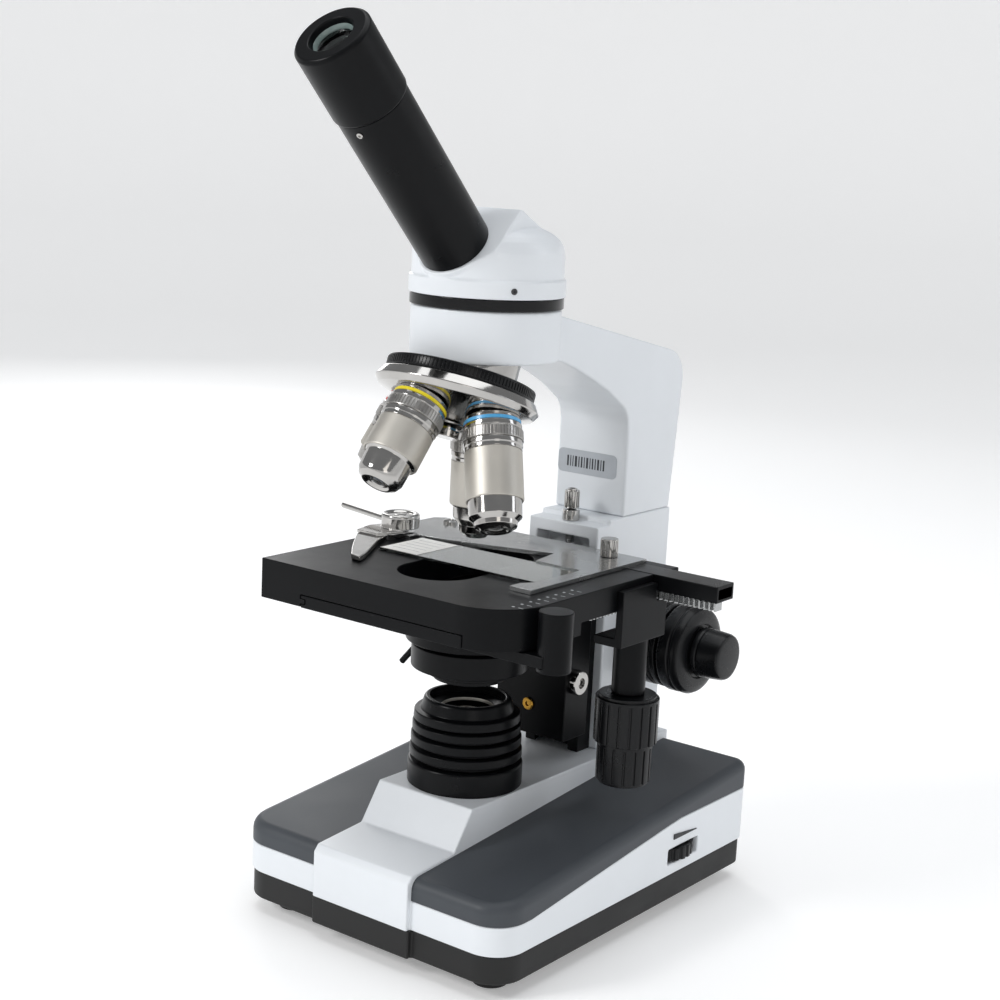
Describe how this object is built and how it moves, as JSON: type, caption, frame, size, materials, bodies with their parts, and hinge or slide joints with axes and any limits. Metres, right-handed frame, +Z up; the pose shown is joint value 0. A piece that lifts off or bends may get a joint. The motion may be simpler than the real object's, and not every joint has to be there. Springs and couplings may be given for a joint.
{
  "type": "compound microscope",
  "caption": "Upright monocular laboratory microscope with an inclined eyepiece tube, rotating nosepiece, mechanical stage, rack focusing and a lamp built into a sloping base.",
  "frame": {"origin": "centre of the overall bounding box, on the surface the feet stand on; the optical axis is parallel to Z and crosses that surface 8.44 mm towards -Y from the origin", "axes": "+Z up along the optical axis, -Y towards the user and the eyepiece, +X to the user's right"},
  "size_m": [0.171, 0.2119, 0.3371],
  "materials": {
    "white_paint": "satin",
    "grey_cover": "satin",
    "black_paint": "satin",
    "rubber": "matte",
    "black_plastic": "matte",
    "gloss_black": "gloss",
    "black_aluminium": "satin",
    "bare_aluminium": "satin",
    "steel": "satin",
    "chrome": "gloss",
    "brass": "satin",
    "optical_glass": "gloss",
    "board": "satin",
    "ceramic": "matte"
  },
  "bodies": {
    "stand": {"base_tray": "black_paint", "rubber_feet": "rubber", "base_screws": "steel", "base_housing": "white_paint", "left_top_shell": "grey_cover", "right_top_shell": "grey_cover", "rheostat_body": "bare_aluminium", "circuit_board": "board", "power_inlet": "black_plastic", "lamp_housing": "black_aluminium", "collector_lens": "optical_glass", "lamp_socket": "ceramic", "lamp_bulb": "optical_glass", "pedestal": "white_paint", "arm": "white_paint", "dovetail_guide": "black_paint", "shaft_bushes": "brass", "turret_mount": "steel", "head_ring": "gloss_black", "stop_lock_nut": "chrome"},
    "rheostat_wheel": {"rheostat_wheel": "black_plastic"},
    "rocker_switch": {"rocker_switch": "black_plastic"},
    "stop_screw": {"stop_screw": "chrome"},
    "tension_collar": {"tension_collar": "black_plastic"},
    "coarse_focus": {"coarse_shaft": "steel", "coarse_knob_right": "black_plastic", "coarse_knob_left": "black_plastic"},
    "fine_focus": {"fine_shaft": "steel", "fine_knob_right": "black_plastic", "fine_knob_left": "black_plastic"},
    "head": {"head_housing": "white_paint", "prism": "optical_glass", "prism_cover": "white_paint", "eyepiece_tube": "black_aluminium"},
    "eyepiece": {"eyepiece_barrel": "black_aluminium", "eyepiece_lenses": "optical_glass"},
    "nosepiece": {"turret": "chrome", "turret_grip": "black_plastic", "objective_4x": "bare_aluminium", "objective_10x": "bare_aluminium", "objective_40x": "bare_aluminium", "objective_100x": "bare_aluminium"},
    "carriage": {"carriage": "black_paint", "focus_rack": "steel", "stage_base": "black_paint", "y_rack": "steel", "condenser_mount": "black_paint", "condenser_body": "black_aluminium", "condenser_lens": "optical_glass"},
    "iris": {"iris_ring": "black_aluminium"},
    "stage": {"stage_plate": "black_paint", "drive_bracket": "black_paint"},
    "y_drive": {"y_knob": "black_plastic"},
    "x_drive": {"x_knob": "black_plastic"},
    "slide_holder": {"x_bar": "black_aluminium", "x_rack": "steel", "holder_frame": "steel", "specimen_slide": "optical_glass", "holder_screws": "chrome"},
    "clip": {"clip_lever": "chrome"}
  },
  "joints": [
    {"name": "head_swivel", "type": "hinge", "parent": "stand", "child": "head", "pos_m": [0, -0.00844, 0.24], "axis": [0, 0, 1], "continuous": true},
    {"name": "eyepiece_pull_out", "type": "slide", "parent": "head", "child": "eyepiece", "axis": [0, -0.7071, 0.7071], "range_m": [0, 0.029]},
    {"name": "nosepiece_turn", "type": "hinge", "parent": "stand", "child": "nosepiece", "pos_m": [0, -0.02583, 0.19883], "axis": [0, 0.342, 0.9397], "continuous": true},
    {"name": "stage_lift", "type": "slide", "parent": "stand", "child": "carriage", "axis": [0, 0, 1], "range_m": [-0.008, 0.0088]},
    {"name": "coarse_focus_turn", "type": "hinge", "parent": "stand", "child": "coarse_focus", "pos_m": [0, 0.08356, 0.097], "axis": [1, 0, 0], "range_deg": [-75, 70]},
    {"name": "fine_focus_turn", "type": "hinge", "parent": "stand", "child": "fine_focus", "pos_m": [0, 0.08356, 0.097], "axis": [1, 0, 0], "continuous": true},
    {"name": "tension_collar_turn", "type": "hinge", "parent": "stand", "child": "tension_collar", "pos_m": [0.026, 0.08356, 0.097], "axis": [1, 0, 0], "range_deg": [-60, 60]},
    {"name": "stop_screw_travel", "type": "slide", "parent": "stand", "child": "stop_screw", "axis": [0, 0, 1], "range_m": [0, 0.006]},
    {"name": "rheostat_turn", "type": "hinge", "parent": "stand", "child": "rheostat_wheel", "pos_m": [0.0516, 0.05255, 0.0245], "axis": [0, 0, 1], "range_deg": [0, 270]},
    {"name": "rocker_tilt", "type": "hinge", "parent": "stand", "child": "rocker_switch", "pos_m": [0.038, 0.10075, 0.0278], "axis": [1, 0, 0], "range_deg": [-16, 0]},
    {"name": "iris_turn", "type": "hinge", "parent": "carriage", "child": "iris", "pos_m": [0, -0.00844, 0.104], "axis": [0, 0, 1], "range_deg": [-45, 45]},
    {"name": "stage_y", "type": "slide", "parent": "carriage", "child": "stage", "axis": [0, 1, 0], "range_m": [-0.018, 0.003]},
    {"name": "y_drive_turn", "type": "hinge", "parent": "stage", "child": "y_drive", "pos_m": [0.0522, 0.02336, 0.084], "axis": [0, 0, 1], "range_deg": [-250, 45]},
    {"name": "stage_x", "type": "slide", "parent": "stage", "child": "slide_holder", "axis": [1, 0, 0], "range_m": [-0.03, 0.02]},
    {"name": "x_drive_turn", "type": "hinge", "parent": "stage", "child": "x_drive", "pos_m": [0.0522, 0.02336, 0.066], "axis": [0, 0, 1], "range_deg": [-280, 415]},
    {"name": "clip_swing", "type": "hinge", "parent": "slide_holder", "child": "clip", "pos_m": [-0.05, 0.00656, 0.145], "axis": [0, 0, 1], "range_deg": [-35, 0], "stiffness_Nm_per_rad": 0.02, "springref_deg": 11.46}
  ],
  "couplings": [
    {"joint": "coarse_focus_turn", "follows": "stage_lift", "rad_per_m": -142.86},
    {"joint": "y_drive_turn", "follows": "stage_y", "rad_per_m": 238.1},
    {"joint": "x_drive_turn", "follows": "stage_x", "rad_per_m": -238.1}
  ]
}
